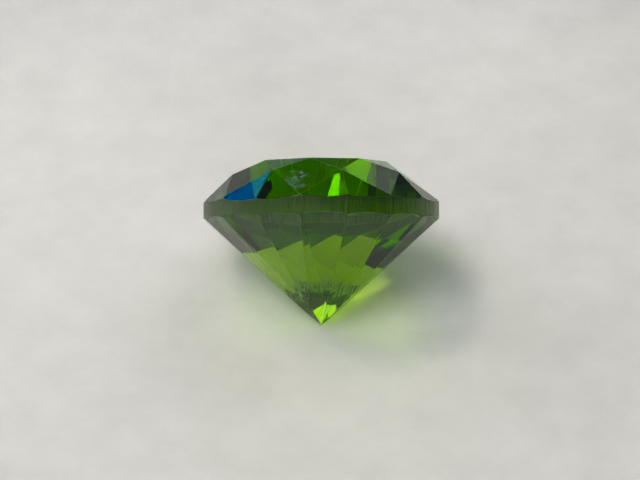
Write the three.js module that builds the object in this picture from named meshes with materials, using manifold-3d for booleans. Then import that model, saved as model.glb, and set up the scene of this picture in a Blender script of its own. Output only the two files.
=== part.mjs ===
// A loose demantoid garnet cut as a round brilliant: one faceted stone with 57 polished facets and a ground
// girdle. It lies on one of its lower half facets, as a loose stone does, with its table up and turned away.
// Millimetres, +Z up. The origin is at the bottom centre of the stone's box.

import * as THREE from 'three';
import { mergeVertices } from 'three/addons/utils/BufferGeometryUtils.js';
import Module from 'manifold-3d';

// The cut, as a grading report states it: lengths in millimetres, angles in degrees from the girdle's plane,
// and shares of the girdle's diameter, of the way out from the table and of the way down to the culet
const girdleDiameter = 5.0;
const girdleThickness = 0.4;
const crownAngle = 37.5;
const pavilionAngle = 41.6;
const tableShare = 0.565;
const starShare = 0.52;
const lowerHalfShare = 0.795;

// How many main facets go round the stone, and how many sides stand for the round girdle
const mainFacets = 8;
const girdleSides = 96;

// Two corners of the girdle's upper edge lie a little low, as the photo shows: the corner's turn about the
// stone's axis in degrees, and how much lower it lies
const lowCorners = new Map([[225, 0.012], [247.5, 0.06]]);

// Which way the table looks as the stone lies, in degrees from +Y round to +X
const headingAngle = 41;

const wasm = await Module();
wasm.setup();

const radians = THREE.MathUtils.degToRad;
const mainStep = 360 / mainFacets;
const halfStep = mainStep / 2;
const girdleRadius = girdleDiameter / 2;
const tableRadius = tableShare * girdleRadius;
const crownSlope = Math.tan(radians(crownAngle));
const pavilionSlope = Math.tan(radians(pavilionAngle));

// Heights along the stone's own axis, above the culet
const girdleBottom = girdleRadius * pavilionSlope;
const girdleTop = girdleBottom + girdleThickness;
const tableHeight = girdleTop + (girdleRadius - tableRadius) * crownSlope;

// A point of the stone from its distance to the axis, its turn about the axis in degrees and its height
function stonePoint(radius, turn, height) {
  const angle = radians(turn);
  return new THREE.Vector3(radius * Math.cos(angle), radius * Math.sin(angle), height);
}

const culet = stonePoint(0, 0, 0);

function tableCorner(turn) {
  return stonePoint(tableRadius, turn, tableHeight);
}

// A star facet's tip lies on the edge between two bezel facets
function starTip(turn) {
  const tableEdge = tableRadius * Math.cos(radians(halfStep));
  const radius = tableEdge + starShare * (girdleRadius - tableEdge);
  const outward = radius * Math.cos(radians(halfStep)) - tableRadius;
  return stonePoint(radius, turn, tableHeight - outward * crownSlope);
}

// Where two upper half facets meet on the girdle
function upperCorner(turn) {
  return stonePoint(girdleRadius, turn, girdleTop - (lowCorners.get(turn) ?? 0));
}

// Two lower half facets end together on the edge between two pavilion mains
function lowerHalfTip(turn) {
  const radius = (1 - lowerHalfShare) * girdleRadius;
  return stonePoint(radius, turn, radius * Math.cos(radians(halfStep)) * pavilionSlope);
}

// A facet's plane through three of its points, facing out of the stone
function facetPlane(a, b, c) {
  const plane = new THREE.Plane().setFromCoplanarPoints(a, b, c);
  const middle = stonePoint(0, 0, girdleBottom);
  return plane.distanceToPoint(middle) > 0 ? plane.negate() : plane;
}

// The planes of the crown and of the pavilion that belong to the main facet at one turn
function crownPlanes(turn) {
  const planes = [
    facetPlane(tableCorner(turn), starTip(turn - halfStep), starTip(turn + halfStep)),
    facetPlane(tableCorner(turn), tableCorner(turn + mainStep), starTip(turn + halfStep)),
  ];
  for (const side of [-halfStep, halfStep]) {
    planes.push(facetPlane(upperCorner(turn), upperCorner(turn + side), starTip(turn + side)));
  }
  return planes;
}

function lowerHalfPlane(turn, side) {
  const girdleEdge = [turn, turn + side].map((t) => stonePoint(girdleRadius, t, girdleBottom));
  return facetPlane(...girdleEdge, lowerHalfTip(turn + side));
}

function pavilionPlanes(turn) {
  return [
    facetPlane(culet, lowerHalfTip(turn - halfStep), lowerHalfTip(turn + halfStep)),
    lowerHalfPlane(turn, -halfStep),
    lowerHalfPlane(turn, halfStep),
  ];
}

// The closed solid of a three.js shape, for cutting
function solidOf(geometry) {
  const bare = geometry.clone();
  bare.deleteAttribute('normal');
  bare.deleteAttribute('uv');
  const merged = mergeVertices(bare, 1e-5);
  return new wasm.Manifold(new wasm.Mesh({
    numProp: 3,
    vertProperties: merged.attributes.position.array,
    triVerts: new Uint32Array(merged.index.array),
  }));
}

function geometryOf(solid) {
  const { vertProperties, triVerts } = solid.getMesh();
  const geometry = new THREE.BufferGeometry();
  geometry.setAttribute('position', new THREE.BufferAttribute(vertProperties, 3));
  geometry.setIndex(new THREE.BufferAttribute(triVerts, 1));
  return geometry;
}

// The rough stone, turned round to the girdle's diameter, from the culet up to the table
function roundBlank() {
  const bar = new THREE.CylinderGeometry(girdleRadius, girdleRadius, tableHeight, girdleSides);
  bar.rotateX(Math.PI / 2);
  bar.translate(0, 0, tableHeight / 2);
  return solidOf(bar);
}

// Takes off all that stands outside a facet's plane, as the lap does
function grind(stone, plane) {
  const side = 3 * girdleDiameter;
  const block = new THREE.BoxGeometry(side, side, side);
  block.translate(0, 0, side / 2);
  block.applyQuaternion(new THREE.Quaternion().setFromUnitVectors(new THREE.Vector3(0, 0, 1), plane.normal));
  block.translate(...plane.coplanarPoint(new THREE.Vector3()).toArray());
  return stone.subtract(solidOf(block));
}

function cutStone() {
  let stone = roundBlank();
  for (let turn = 0; turn < 360; turn += mainStep) {
    for (const plane of [...pavilionPlanes(turn), ...crownPlanes(turn)]) stone = grind(stone, plane);
  }
  return geometryOf(stone);
}

const garnetGreen = new THREE.MeshStandardMaterial({ color: 0x3f6b12, roughness: 0.05, metalness: 0 });

// Lays the stone on one lower half facet and turns it to its heading
function restedStone() {
  const restingPlane = lowerHalfPlane(2 * mainStep, halfStep);
  const restingTurn = Math.atan2(restingPlane.normal.y, restingPlane.normal.x);
  const restingAngle = Math.acos(-restingPlane.normal.z);
  const stone = new THREE.Mesh(cutStone(), garnetGreen);
  stone.name = 'demantoid_stone';
  stone.rotation.set(-restingAngle, 0, Math.PI / 2 - restingTurn);
  stone.rotateOnWorldAxis(new THREE.Vector3(0, 0, 1), -radians(headingAngle));
  const box = new THREE.Box3().setFromObject(stone, true);
  const middle = box.getCenter(new THREE.Vector3());
  stone.position.set(-middle.x, -middle.y, -box.min.z);
  return stone;
}

const garnet = new THREE.Group();
garnet.add(restedStone());

export default garnet;
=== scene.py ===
import math

import bmesh
import bpy
import numpy as np
from mathutils import Matrix, Vector


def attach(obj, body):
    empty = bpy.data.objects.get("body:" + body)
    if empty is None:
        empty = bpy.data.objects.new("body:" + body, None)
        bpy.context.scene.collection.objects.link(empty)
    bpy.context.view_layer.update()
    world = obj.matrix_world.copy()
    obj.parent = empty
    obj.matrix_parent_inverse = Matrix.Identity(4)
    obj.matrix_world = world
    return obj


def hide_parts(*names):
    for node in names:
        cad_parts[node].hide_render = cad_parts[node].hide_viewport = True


# A loose demantoid garnet, a round brilliant that lies on one of its lower half facets.
# Everything is in metres. Turns go round the stone's own axis, in degrees.

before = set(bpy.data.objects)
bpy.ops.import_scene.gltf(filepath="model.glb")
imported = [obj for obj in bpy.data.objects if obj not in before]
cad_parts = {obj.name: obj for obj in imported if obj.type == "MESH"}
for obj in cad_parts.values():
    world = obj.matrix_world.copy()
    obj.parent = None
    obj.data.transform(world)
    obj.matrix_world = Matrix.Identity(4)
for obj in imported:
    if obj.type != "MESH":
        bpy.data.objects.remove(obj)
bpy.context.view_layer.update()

# The cut: the same driving dimensions as the CAD stone
stoneCut = {
    "girdleDiameter": 0.0050,
    "girdleThickness": 0.0004,
    "crownAngle": 37.5,
    "pavilionAngle": 41.6,
    "tableShare": 0.565,
    "starShare": 0.52,
    "lowerHalfShare": 0.795,
    "mainFacets": 8,
    "girdleSides": 384,
    "lowCorners": {225.0: 0.000012, 247.5: 0.00006},   # which girdle corners lie low, and how much
    "headingAngle": 41.0,      # which way the table looks, from +Y round to +X
    "edgeWear": 0.0000045,      # how wide the facet edges are rubbed
}


# Points of a level ring: (radius cos turn, radius sin turn, height), one for each turn
def ring(radius, turns, height):
    a = np.radians(turns)
    return np.stack(np.broadcast_arrays(radius * np.cos(a), radius * np.sin(a), height), axis=1)


# The plane z = a + b x + c y through each row's three points, as the row's (a, b, c)
def planesThrough(p, q, r):
    points = np.stack([p, q, r], 1)
    known = np.concatenate([np.ones_like(points[:, :, :1]), points[:, :, :2]], 2)
    return np.linalg.solve(known, points[:, :, 2:])[:, :, 0]


# One edge of the girdle. A half facet's plane goes through two neighbouring corners on the girdle and
# through the tip that it shares with the next one, and the edge's height at each turn is that plane's z.
def girdleEdge(radius, turns, corners, tips):
    planes = planesThrough(corners, np.roll(corners, -1, 0), np.repeat(tips, 2, 0))
    sector = np.arange(len(turns)) * len(corners) // len(turns)
    level = ring(radius, turns, 1.0)
    a, b, c = planes[sector].T
    return ring(radius, turns, a + b * level[:, 0] + c * level[:, 1]), planes


# The facet corners as rings of points round the stone's axis, measured up from the culet
def cutRings(cut):
    radius = cut["girdleDiameter"] / 2
    step = 360 / cut["mainFacets"]
    half = np.radians(step / 2)
    mains = np.arange(cut["mainFacets"]) * step
    halves = mains + step / 2
    cornerTurns = np.arange(2 * cut["mainFacets"]) * step / 2
    turns = np.arange(cut["girdleSides"]) * 360 / cut["girdleSides"]
    crownSlope, pavilionSlope = np.tan(np.radians([cut["crownAngle"], cut["pavilionAngle"]]))
    tableRadius = cut["tableShare"] * radius
    girdleBottom = radius * pavilionSlope
    girdleTop = girdleBottom + cut["girdleThickness"]
    tableHeight = girdleTop + (radius - tableRadius) * crownSlope

    tableEdge = tableRadius * np.cos(half)
    starRadius = tableEdge + cut["starShare"] * (radius - tableEdge)
    stars = ring(starRadius, halves, tableHeight - (starRadius * np.cos(half) - tableRadius) * crownSlope)
    tipRadius = (1 - cut["lowerHalfShare"]) * radius
    tips = ring(tipRadius, halves, tipRadius * np.cos(half) * pavilionSlope)

    lower = np.array([cut["lowCorners"].get(turn, 0.0) for turn in cornerTurns])
    top, upperPlanes = girdleEdge(radius, turns, ring(radius, cornerTurns, girdleTop - lower), stars)
    bottom, _ = girdleEdge(radius, turns, ring(radius, cornerTurns, girdleBottom), tips)

    # A bezel's lower tip is where its plane meets those of the upper halves on its two sides
    level = ring(crownSlope, mains, girdleTop + radius * crownSlope)
    bezelPlanes = np.stack([level[:, 2], -level[:, 0], -level[:, 1]], 1)
    halfPlanes = [upperPlanes[0::2], np.roll(upperPlanes[1::2], 1, 0)]
    a, b, c = np.stack([bezelPlanes, *halfPlanes], 1).transpose(2, 0, 1)
    bezelTips = np.linalg.solve(np.stack([-b, -c, np.ones_like(a)], 2), a[:, :, None])[:, :, 0]

    return {"table": ring(tableRadius, mains, tableHeight), "star": stars, "bezel": bezelTips, "top": top,
            "bottom": bottom, "tip": tips, "culet": np.zeros((1, 3))}


# The facets as lists of point numbers, anticlockwise from outside, and a 1 for each ground face
def cutFaces(cut, rings):
    counts = [len(r) for r in rings.values()]
    starts = dict(zip(rings, np.concatenate([[0], np.cumsum(counts)])))
    mains, sides = cut["mainFacets"], cut["girdleSides"]
    arcSides = sides // (2 * mains)

    def at(name, number):
        return (starts[name] + np.mod(number, len(rings[name]))).tolist()

    def arc(name, k):
        return at(name, np.arange(k * arcSides, (k + 1) * arcSides + 1))

    facets = [at("table", np.arange(mains))]
    for i in range(mains):
        facets += [
            [at("table", i), at("star", i), at("table", i + 1)],
            [at("table", i), at("star", i - 1), at("bezel", i), at("star", i)],
            [at("star", i), at("bezel", i)] + arc("top", 2 * i),
            arc("top", 2 * i - 1) + [at("bezel", i), at("star", i - 1)],
            [at("tip", i)] + arc("bottom", 2 * i)[::-1],
            arc("bottom", 2 * i - 1)[::-1] + [at("tip", i - 1)],
            [at("culet", 0), at("tip", i), arc("bottom", 2 * i)[0], at("tip", i - 1)],
        ]
    k = np.arange(sides)
    girdle = np.stack([at("bottom", k), at("bottom", k + 1), at("top", k + 1), at("top", k)], 1).tolist()
    return facets + girdle, [0] * len(facets) + [1] * sides


# Turns the stone's own axes so that one lower half facet faces straight down, then to its heading
def seatMatrix(cut, rings):
    arcSides = cut["girdleSides"] // (2 * cut["mainFacets"])
    a, b = rings["bottom"][4 * arcSides], rings["bottom"][5 * arcSides]
    normal = np.cross(b - a, rings["tip"][2] - a)
    normal *= -np.sign(normal[2]) / np.linalg.norm(normal)
    turn, lean = math.atan2(normal[1], normal[0]), math.acos(-normal[2])
    heading = math.radians(cut["headingAngle"])
    return (Matrix.Rotation(-heading, 4, "Z") @ Matrix.Rotation(-lean, 4, "X")
            @ Matrix.Rotation(math.pi / 2 - turn, 4, "Z"))


weldMillimetres = 0.0001      # corners closer than this are one
leastEdgeAngle = 4            # edges flatter than this many degrees stay as they are


# The facets as one closed mesh whose edges are rubbed; groundGirdle and wornEdge are 1 on those faces.
# It is worked out in millimetres, where Blender's own tolerances are fine enough.
def wornMesh(name, points, faces, ground, wear):
    milli = bpy.data.meshes.new(name)
    milli.from_pydata((points * 1000).tolist(), [], faces)
    milli.polygons.foreach_set("material_index", ground)
    joined = bmesh.new()
    joined.from_mesh(milli)
    bmesh.ops.remove_doubles(joined, verts=joined.verts, dist=weldMillimetres)
    joined.to_mesh(milli)
    joined.free()
    for _ in range(3):
        milli.materials.append(None)
    sharp = bpy.data.objects.new(name, milli)
    bpy.context.scene.collection.objects.link(sharp)
    bevel = sharp.modifiers.new("rubbedEdges", "BEVEL")
    bevel.width, bevel.segments, bevel.material = wear * 1000, 1, 2
    bevel.limit_method, bevel.angle_limit = "ANGLE", math.radians(leastEdgeAngle)
    worn = bpy.data.meshes.new_from_object(sharp.evaluated_get(bpy.context.evaluated_depsgraph_get()))
    worn.transform(Matrix.Scale(0.001, 4))
    bpy.data.objects.remove(sharp)
    kind = np.zeros(len(worn.polygons), np.int32)
    worn.polygons.foreach_get("material_index", kind)
    worn.polygons.foreach_set("material_index", np.zeros_like(kind))
    worn.polygons.foreach_set("use_smooth", kind == 1)
    corners = np.zeros(len(worn.polygons), np.int32)
    edge = np.zeros(len(worn.loops), np.int32)
    worn.polygons.foreach_get("loop_total", corners)
    worn.loops.foreach_get("edge_index", edge)
    groundSides = np.bincount(edge, np.repeat(kind == 1, corners), len(worn.edges))
    worn.edges.foreach_set("use_edge_sharp", groundSides < 2)
    for attribute, number in (("groundGirdle", 1), ("wornEdge", 2)):
        share = (kind == number).astype(np.float32)
        worn.attributes.new(attribute, "FLOAT", "FACE").data.foreach_set("value", share)
    worn.materials.clear()
    worn.name = name
    return worn


# A map that follows the girdle, in metres: u = radius * turn round the axis, v = height above the culet.
# A face's corners take the turn nearest to its middle's, so that no face runs back round the stone.
def mapRound(mesh, radius):
    points = np.zeros(len(mesh.vertices) * 3)
    mesh.vertices.foreach_get("co", points)
    points = points.reshape(-1, 3)
    corner = np.zeros(len(mesh.loops), np.int32)
    mesh.loops.foreach_get("vertex_index", corner)
    first = np.zeros(len(mesh.polygons), np.int32)
    count = np.zeros(len(mesh.polygons), np.int32)
    mesh.polygons.foreach_get("loop_start", first)
    mesh.polygons.foreach_get("loop_total", count)
    x, y, z = points[corner].T
    turn = np.arctan2(y, x)
    middle = np.repeat(np.arctan2(np.add.reduceat(y, first), np.add.reduceat(x, first)), count)
    near = middle + np.mod(turn - middle + np.pi, 2 * np.pi) - np.pi
    layer = mesh.uv_layers.new(name="roundTheGirdle")
    layer.uv.foreach_set("vector", np.stack([radius * near, z], 1).astype(np.float32).ravel())


def makeStone(cut):
    rings = cutRings(cut)
    faces, ground = cutFaces(cut, rings)
    points = np.concatenate(list(rings.values()))
    mesh = wornMesh("garnetBrilliant", points, faces, ground, cut["edgeWear"])
    mapRound(mesh, cut["girdleDiameter"] / 2)
    seat = seatMatrix(cut, rings)
    laid = points @ np.array(seat.to_3x3()).T
    low, high = laid.min(0), laid.max(0)
    laidDown = Matrix.Translation((-(low[0] + high[0]) / 2, -(low[1] + high[1]) / 2, -low[2])) @ seat
    mesh.transform(laidDown)
    stone = bpy.data.objects.new("garnetBrilliant", mesh)
    bpy.context.scene.collection.objects.link(stone)
    middle = rings["bottom"][0, 2] + cut["girdleThickness"] / 2
    return stone, laidDown @ Vector((0, 0, middle))


stone, stoneMiddle = makeStone(stoneCut)
print("stone cut and laid down,", len(stone.data.polygons), "faces")

# The finish: polished facets with a few hairlines, a girdle ground upright, and the garnet's own green
stoneFinish = {
    "ior": 1.888,
    "absorbing": 1000.0,                 # per metre, shared out by the colour
    "absorbColour": (0.605, 0.762, 0.20),
    "hairlinesPerMetre": 26000,
    "hairlineStretch": 60,
    "hairlineFrom": 0.70,                # the noise above this leaves a hairline, full at hairlineTo
    "hairlineTo": 0.73,
    "hairlineTurns": ((0.3, 0.9, 0.5), (1.1, 0.2, 2.1)),       # the two ways in which the hairlines run
    "hairlineRoughness": 0.12,
    "wornRoughness": 0.30,
    "smudges": (((-0.00115, -0.00049, 0.00356), 0.00055),      # a film's middle, and how far it reaches
                ((-0.00161, -0.00088, 0.00186), 0.00075),
                ((-0.00194, -0.00056, 0.00270), 0.00060)),
    "smudgesPerMetre": 9000,             # how finely the film is broken up
    "smudgeFrom": 0.44,                  # the noise above this leaves film, full at smudgeTo
    "smudgeTo": 0.62,
    "smudgeRoughness": 0.18,
    "girdleRoughness": 0.28,
    "grindPerMetre": 15000,              # how fine the girdle's upright grinding marks are
    "grindStretch": 16,
    "grindDepth": 0.00003,
    "nickAt": (-0.00627, 0.002295),      # on the girdle's own map: round it, and above the culet
    "nickSize": 0.00005,
    "nickRoughness": 0.6,
    "fullWithin": 0.4,                   # this share of a film's or the nick's reach is at full strength
}


def newMaterial(name):
    made = bpy.data.materials.new(name)
    made.use_nodes = True
    made.node_tree.nodes.clear()
    return made, made.node_tree


# A node of one kind with its settings. An input is a number or tuple to keep, or another node's output.
def addNode(tree, kind, inputs, **settings):
    node = tree.nodes.new(kind)
    for name, value in settings.items():
        setattr(node, name, value)
    for name, value in inputs.items():
        if isinstance(value, bpy.types.NodeSocket):
            tree.links.new(value, node.inputs[name])
        else:
            node.inputs[name].default_value = value
    return node


# One sum on numbers or other nodes' outputs
def maths(tree, operation, *values):
    return addNode(tree, "ShaderNodeMath", dict(enumerate(values)), operation=operation).outputs[0]


# Carries a value from the span low to high over to the span start to end, and holds it there
def remap(tree, value, low, high, start=0, end=1, kind="LINEAR"):
    spans = {"Value": value, "From Min": low, "From Max": high, "To Min": start, "To Max": end}
    return addNode(tree, "ShaderNodeMapRange", spans, interpolation_type=kind).outputs["Result"]


# How far each place lies from a point
def distanceFrom(tree, place, point):
    away = addNode(tree, "ShaderNodeVectorMath", {0: place, 1: point}, operation="DISTANCE")
    return away.outputs["Value"]


# A streak pattern: noise that is fine across and long along its first axis, of which only the peaks stay
def streaks(tree, place, turn, finish):
    fine = finish["hairlinesPerMetre"]
    squeezed = addNode(tree, "ShaderNodeMapping", {
        "Vector": place, "Rotation": turn, "Scale": (fine / finish["hairlineStretch"], fine, fine)})
    noise = addNode(tree, "ShaderNodeTexNoise", {"Vector": squeezed.outputs[0], "Scale": 1, "Detail": 1})
    return remap(tree, noise.outputs["Fac"], finish["hairlineFrom"], finish["hairlineTo"])


# A thin broken film round each listed place: its share falls smoothly from the middle to the rim
def filmShare(tree, place, finish):
    share = 0.0
    for middle, reach in finish["smudges"]:
        away = distanceFrom(tree, place, middle)
        near = remap(tree, away, reach, finish["fullWithin"] * reach, kind="SMOOTHSTEP")
        share = maths(tree, "MAXIMUM", near, share)
    cloud = addNode(tree, "ShaderNodeTexNoise", {
        "Vector": place, "Scale": finish["smudgesPerMetre"], "Detail": 3, "Distortion": 0.8})
    broken = remap(tree, cloud.outputs["Fac"], finish["smudgeFrom"], finish["smudgeTo"],
                   kind="SMOOTHSTEP")
    return maths(tree, "MULTIPLY", share, broken)


def garnetMaterial(finish):
    made, tree = newMaterial("demantoidGreen")
    place = addNode(tree, "ShaderNodeTexCoord", {}).outputs["Object"]
    girdleMap = addNode(tree, "ShaderNodeUVMap", {}, uv_map="roundTheGirdle").outputs["UV"]
    ground = addNode(tree, "ShaderNodeAttribute", {}, attribute_name="groundGirdle").outputs["Fac"]
    worn = addNode(tree, "ShaderNodeAttribute", {}, attribute_name="wornEdge").outputs["Fac"]

    fine = finish["grindPerMetre"]
    upright = addNode(tree, "ShaderNodeMapping", {
        "Vector": girdleMap, "Scale": (fine, fine / finish["grindStretch"], 1)})
    grain = addNode(tree, "ShaderNodeTexNoise", {
        "Vector": upright.outputs[0], "Scale": 1, "Detail": 3, "Roughness": 0.6}, noise_dimensions="2D")
    marks = maths(tree, "MULTIPLY", grain.outputs["Fac"], ground)
    surface = addNode(tree, "ShaderNodeBump", {
        "Height": marks, "Distance": finish["grindDepth"], "Strength": 1})

    away = distanceFrom(tree, girdleMap, (*finish["nickAt"], 0))
    nick = remap(tree, away, finish["nickSize"], finish["fullWithin"] * finish["nickSize"])
    nick = maths(tree, "MULTIPLY", nick, ground)
    film = filmShare(tree, place, finish)
    oneWay, otherWay = [streaks(tree, place, turn, finish) for turn in finish["hairlineTurns"]]
    hairlines = maths(tree, "MAXIMUM", oneWay, otherWay)

    # Each kind of wear adds its own roughness where it lies
    rough = maths(tree, "MULTIPLY", hairlines, finish["hairlineRoughness"])
    for share, name in ((ground, "girdleRoughness"), (worn, "wornRoughness"),
                        (nick, "nickRoughness"), (film, "smudgeRoughness")):
        rough = maths(tree, "MULTIPLY_ADD", share, finish[name], rough)

    glass = addNode(tree, "ShaderNodeBsdfPrincipled", {
        "Base Color": (1, 1, 1, 1), "Transmission Weight": 1, "IOR": finish["ior"], "Roughness": rough,
        "Normal": surface.outputs[0]})
    inside = addNode(tree, "ShaderNodeVolumeAbsorption", {
        "Color": (*finish["absorbColour"], 1), "Density": finish["absorbing"]})
    addNode(tree, "ShaderNodeOutputMaterial", {"Surface": glass.outputs[0], "Volume": inside.outputs[0]})
    return made


stone.data.materials.append(garnetMaterial(stoneFinish))
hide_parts("demantoid_stone")
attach(stone, "root")
print("garnet finished")

# The floor is only the stage: a pale, slightly mottled sheet with painted shade that darkens it away from
# the stone and towards one side, and a hair of air under the stone
floorSheet = {
    "size": 0.6,
    "depth": 0.03,
    "airGap": 0.00001,
    "colour": (0.74, 0.739, 0.7175),
    "roughness": 0.24,
    "lightReach": 0.0018,      # how far light spreads inside the sheet
    "paintedFalloffFrom": 0.008,         # painted shade: the sheet darkens from here outwards, in place of light falling off
    "paintedFalloffTo": 0.032,
    "paintedFalloffShare": 0.25,
    "paintedShadeTowards": -88.0,       # painted shade: the side on which the sheet is a little dimmer, in degrees from +X
    "paintedShadeOver": 0.018,
    "paintedShadeShare": 0.93,
    "mottle": 0.035,           # how far the sheet's tone strays to either side
    "mottleSpan": (0.3, 0.7),  # the noise between these makes all of it
    "mottlePerMetre": 900,
    "crinklePerMetre": 2500,
    "crinkleDepth": 0.000012,
}


# Pale paper: its colour times a painted shade that darkens it with the distance from the stone, times a
# painted shade that dims it slowly to one side, times a mottle, with light spreading inside it and a fine
# crinkle on top
def paperMaterial(sheet):
    made, tree = newMaterial("paleSheetPaintedShade")
    place = addNode(tree, "ShaderNodeTexCoord", {}).outputs["Object"]
    reach = addNode(tree, "ShaderNodeVectorMath", {0: place}, operation="LENGTH").outputs["Value"]
    # Painted shade: the sheet darkens with the distance from the stone, standing in for light falling off
    paintedFalloff = remap(tree, reach, sheet["paintedFalloffFrom"], sheet["paintedFalloffTo"], 1, sheet["paintedFalloffShare"], "SMOOTHSTEP")
    # Painted shade: the sheet is a little darker towards one side, standing in for light that falls
    # unevenly
    turned = addNode(tree, "ShaderNodeMapping", {
        "Vector": place, "Rotation": (0, 0, -math.radians(sheet["paintedShadeTowards"]))})
    along = addNode(tree, "ShaderNodeSeparateXYZ", {"Vector": turned.outputs[0]}).outputs["X"]
    half = sheet["paintedShadeOver"] / 2
    paintedSideShade = remap(tree, along, -half, half, 1, sheet["paintedShadeShare"], "SMOOTHSTEP")
    cloud = addNode(tree, "ShaderNodeTexNoise", {
        "Vector": place, "Scale": sheet["mottlePerMetre"], "Detail": 5, "Roughness": 0.6})
    stray = sheet["mottle"]
    mottle = remap(tree, cloud.outputs["Fac"], *sheet["mottleSpan"], 1 - stray, 1 + stray)
    # The two painted shades times the mottle, which is the sheet's own random tone
    paintedShadeAndMottle = maths(tree, "MULTIPLY", maths(tree, "MULTIPLY", paintedFalloff, paintedSideShade), mottle)
    toned = addNode(tree, "ShaderNodeVectorMath", {0: sheet["colour"], "Scale": paintedShadeAndMottle}, operation="SCALE")

    creases = addNode(tree, "ShaderNodeTexNoise", {
        "Vector": place, "Scale": sheet["crinklePerMetre"], "Detail": 4, "Roughness": 0.55,
        "Distortion": 0.4})
    crinkled = addNode(tree, "ShaderNodeBump", {
        "Height": creases.outputs["Fac"], "Distance": sheet["crinkleDepth"], "Strength": 1})
    paper = addNode(tree, "ShaderNodeBsdfPrincipled", {
        "Base Color": toned.outputs[0], "Roughness": sheet["roughness"], "Normal": crinkled.outputs[0],
        "Subsurface Weight": 1, "Subsurface Radius": (1, 1, 1), "Subsurface Scale": sheet["lightReach"]})
    addNode(tree, "ShaderNodeOutputMaterial", {"Surface": paper.outputs[0]})
    return made


# A flat slab whose top lies a hair under the stone: eight corners, (+-s, +-s, top or bottom)
def makeFloor(sheet):
    s, top, bottom = sheet["size"] / 2, -sheet["airGap"], -sheet["depth"]
    corners = [(x, y, z) for z in (bottom, top) for x, y in ((-s, -s), (s, -s), (s, s), (-s, s))]
    sides = [(k, (k + 1) % 4, (k + 1) % 4 + 4, k + 4) for k in range(4)]
    mesh = bpy.data.meshes.new("paleFloor")
    mesh.from_pydata(corners, [], [(3, 2, 1, 0), (4, 5, 6, 7)] + sides)
    floor = bpy.data.objects.new("paleFloor", mesh)
    bpy.context.scene.collection.objects.link(floor)
    mesh.materials.append(paperMaterial(sheet))


makeFloor(floorSheet)
print("floor laid")

# The photograph's camera, a hand lens away and a little rolled
photoCamera = {
    "azimuth": -42.75,
    "elevation": 39.3,
    "distance": 0.060,
    "lens": 159.0,
    "sensor": 36.0,
    "roll": 1.0,
    "picture": (640, 480),
    "stoneAt": (321.3, 211.2),   # where the middle of the girdle stands in the picture
}


# The direction in which a camera at this azimuth and elevation stands, seen from the stone
def towards(azimuth, elevation):
    a, e = math.radians(azimuth), math.radians(elevation)
    return Vector((math.sin(a) * math.cos(e), -math.cos(a) * math.cos(e), math.sin(e)))


# Turns a camera to look along a direction, with the picture rolled
def lookAlong(direction, roll):
    level = direction.to_track_quat("-Z", "Y").to_matrix()
    return level @ Matrix.Rotation(math.radians(roll), 3, "Z")


def makeCamera(view, target):
    data = bpy.data.cameras.new("photoCamera")
    data.lens, data.sensor_width = view["lens"], view["sensor"]
    data.clip_start, data.clip_end = 0.001, 5
    camera = bpy.data.objects.new("photoCamera", data)
    bpy.context.scene.collection.objects.link(camera)
    back = towards(view["azimuth"], view["elevation"])
    width, height = view["picture"]
    pixel = view["distance"] * view["sensor"] / view["lens"] / width
    aside, up = view["stoneAt"][0] - width / 2, height / 2 - view["stoneAt"][1]
    aim = target - lookAlong(-back, view["roll"]) @ Vector((aside * pixel, up * pixel, 0))
    place = target + back * view["distance"]
    camera.matrix_world = Matrix.Translation(place) @ lookAlong(aim - place, view["roll"]).to_4x4()
    bpy.context.scene.camera = camera


makeCamera(photoCamera, stoneMiddle)
print("camera set")

# Soft boxes round the stone, each by where it stands as the camera sees it: azimuth 0 is straight beyond
# the stone and positive to the right. Width and height are in degrees, brightness is its own radiance.
studioLights = {
    "windowCard": {"azimuth": -3, "elevation": 20, "width": 15, "height": 12, "brightness": 3.2,
                   "colour": (0.60, 0.55, 1)},
    "windowSill": {"azimuth": -6, "elevation": 10.5, "width": 18, "height": 6, "brightness": 0.7,
                   "colour": (0.6, 0.95, 1)},
    "tealCard": {"azimuth": -17, "elevation": 31, "width": 9, "height": 6, "brightness": 0.22,
                 "colour": (0.3, 1, 0.8)},
    "windowSide": {"azimuth": 17, "elevation": 10, "width": 12, "height": 8, "brightness": 0.45,
                   "colour": (1, 1, 1)},
    "blueCard": {"azimuth": -30, "elevation": 8, "width": 14, "height": 14, "brightness": 1.35,
                 "colour": (0.06, 0.36, 1)},
    "farLamp": {"azimuth": -62, "elevation": 64, "width": 14, "height": 9, "brightness": 19.5,
                "colour": (1, 0.90, 0.78)},
    "nearLamp": {"azimuth": -135, "elevation": 60, "width": 26, "height": 15, "brightness": 9.4,
                 "colour": (1, 0.98, 0.96)},
    "leftWindow": {"azimuth": -68, "elevation": 22, "width": 46, "height": 36, "brightness": 1.75,
                   "colour": (0.98, 0.98, 1)},
    "rightWindow": {"azimuth": 60, "elevation": 20, "width": 44, "height": 36, "brightness": 0.45,
                    "colour": (1, 0.98, 0.98)},
    "rightBox": {"azimuth": 90, "elevation": 62, "width": 24, "height": 20, "brightness": 0.5,
                 "colour": (1, 0.98, 0.98)},
    "farRightBox": {"azimuth": 40, "elevation": 45, "width": 30, "height": 20, "brightness": 2.1,
                    "colour": (1, 0.98, 0.98)},
    "frontFill": {"azimuth": 172, "elevation": 12.5, "width": 38, "height": 16, "brightness": 6.0,
                  "colour": (1, 1, 1)},
    "leftFill": {"azimuth": -126, "elevation": 10, "width": 22, "height": 12, "brightness": 5.5,
                 "colour": (1, 1, 1)},
}
lightDistance = 0.25
roomColour = (0.12, 0.135, 0.145, 1)      # the dim light from all round


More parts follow.
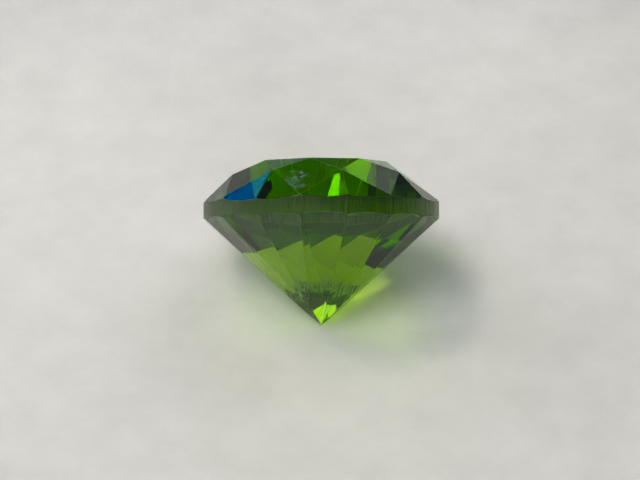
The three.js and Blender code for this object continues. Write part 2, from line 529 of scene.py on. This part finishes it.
# A rectangular soft box that spans width and height degrees, seen from the stone
def addSoftBox(name, box, view, target):
    out = towards(view["azimuth"] + 180 - box["azimuth"], box["elevation"])
    data = bpy.data.lights.new(name, "AREA")
    data.shape = "RECTANGLE"
    data.size = 2 * lightDistance * math.tan(math.radians(box["width"] / 2))
    data.size_y = 2 * lightDistance * math.tan(math.radians(box["height"] / 2))
    data.color = box["colour"]
    data.energy = box["brightness"] * math.pi * data.size * data.size_y
    light = bpy.data.objects.new(name, data)
    bpy.context.scene.collection.objects.link(light)
    light.matrix_world = (Matrix.Translation(target + out * lightDistance)
                          @ (-out).to_track_quat("-Z", "Y").to_matrix().to_4x4())


def makeStudio(lights, view, target):
    for name, box in lights.items():
        addSoftBox(name, box, view, target)
    world = bpy.data.worlds.new("dimRoom")
    bpy.context.scene.world = world
    world.use_nodes = True
    world.node_tree.nodes["Background"].inputs["Color"].default_value = roomColour
    world.node_tree.nodes["Background"].inputs["Strength"].default_value = 1
    scene = bpy.context.scene
    scene.view_settings.view_transform = "Standard"
    scene.cycles.max_bounces = 24
    scene.cycles.transmission_bounces = 24
    scene.cycles.glossy_bounces = 16
    scene.cycles.diffuse_bounces = 4
    scene.cycles.sample_clamp_indirect = 20
    scene.cycles.use_denoising = True
    scene.cycles.blur_glossy = 0      # or the light that falls through the stone would be smeared out


# The picture is graded as a phone camera grades it, with deeper darks and richer colour
photoGrade = {"gamma": 1.25, "gain": 1.16, "saturation": 1.20}


def gradePicture(grade):
    scene = bpy.context.scene
    scene.use_nodes = True
    nodes, links = scene.node_tree.nodes, scene.node_tree.links
    nodes.clear()
    layers = nodes.new("CompositorNodeRLayers")
    gain = nodes.new("CompositorNodeMixRGB")
    gain.blend_type = "MULTIPLY"
    gain.inputs[0].default_value = 1
    gain.inputs[2].default_value = (grade["gain"] ** (1 / grade["gamma"]),) * 3 + (1,)
    gamma = nodes.new("CompositorNodeGamma")
    gamma.inputs["Gamma"].default_value = grade["gamma"]
    richer = nodes.new("CompositorNodeHueSat")
    richer.inputs["Saturation"].default_value = grade["saturation"]
    out = nodes.new("CompositorNodeComposite")
    links.new(layers.outputs["Image"], gain.inputs[1])
    links.new(gain.outputs["Image"], gamma.inputs["Image"])
    links.new(gamma.outputs["Image"], richer.inputs["Image"])
    links.new(richer.outputs["Image"], out.inputs["Image"])


gradePicture(photoGrade)
makeStudio(studioLights, photoCamera, stoneMiddle)
print("lights set")
